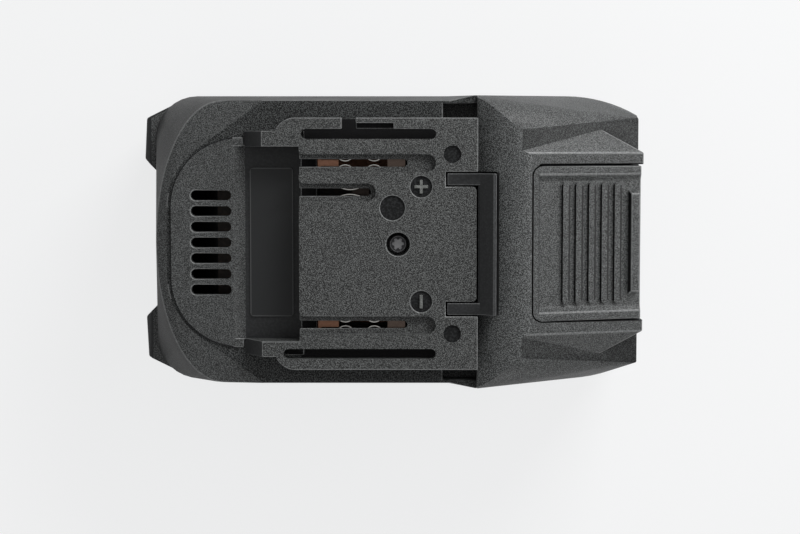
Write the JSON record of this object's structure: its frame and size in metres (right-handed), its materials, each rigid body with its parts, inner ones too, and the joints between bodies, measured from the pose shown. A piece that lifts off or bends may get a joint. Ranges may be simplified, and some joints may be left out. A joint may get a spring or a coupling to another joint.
{
  "type": "power tool battery pack",
  "caption": "Slide-on battery pack with undercut rails, recessed blade contacts, a vented rear dome and a ribbed release button that sinks a sprung latch hook.",
  "frame": {"origin": "centre of the bounding box in plan, on the plane that the base stands on", "axes": "+X along the rails towards the release button, +Z from the base towards the terminal deck"},
  "size_m": [0.1304, 0.075, 0.0728],
  "materials": {
    "housing": "charcoal moulded plastic, fine spark-eroded grain",
    "deck": "charcoal glass-filled plastic, coarse grain",
    "button": "charcoal moulded plastic, coarse grain",
    "latch": "smooth satin black plastic",
    "spring_steel": "drawn spring wire",
    "screw_steel": "black-oxide steel",
    "holder": "natural flame-retardant plastic",
    "cell_sleeve": "shrink sleeve",
    "nickel": "nickel strip",
    "insulation": "insulating paper",
    "board": "green solder mask",
    "components": "moulded component cases",
    "contact": "tin-plated copper alloy",
    "copper": "bare copper strip"
  },
  "bodies": {
    "housing": {"base_tub": "housing", "top_cover": "housing", "terminal_deck": "deck", "latch_springs": "spring_steel", "deck_screw": "screw_steel", "housing_screws": "screw_steel", "cell_holder_left": "holder", "cell_holder_right": "holder", "insulator_left": "insulation", "insulator_right": "insulation", "circuit_board": "board", "board_components": "components", "contact_positive": "contact", "contact_negative": "contact", "contact_charge": "contact", "busbar_positive": "copper", "busbar_negative": "copper", "cell_01": "cell_sleeve", "cell_02": "cell_sleeve", "cell_03": "cell_sleeve", "cell_04": "cell_sleeve", "cell_05": "cell_sleeve", "cell_06": "cell_sleeve", "cell_07": "cell_sleeve", "cell_08": "cell_sleeve", "cell_09": "cell_sleeve", "cell_10": "cell_sleeve", "strap_left_rear": "nickel", "strap_left_middle": "nickel", "strap_left_front": "nickel", "strap_right_rear": "nickel", "strap_right_middle": "nickel", "strap_right_front": "nickel"},
    "release": {"release_button": "button", "latch_hook": "latch"}
  },
  "joints": [
    {"name": "release_slide", "type": "slide", "parent": "housing", "child": "release", "axis": [0, 0, -1], "range_m": [0, 0.004], "stiffness_N_per_m": 1500, "springref_m": -0.004, "deforming": ["latch_springs"]}
  ]
}
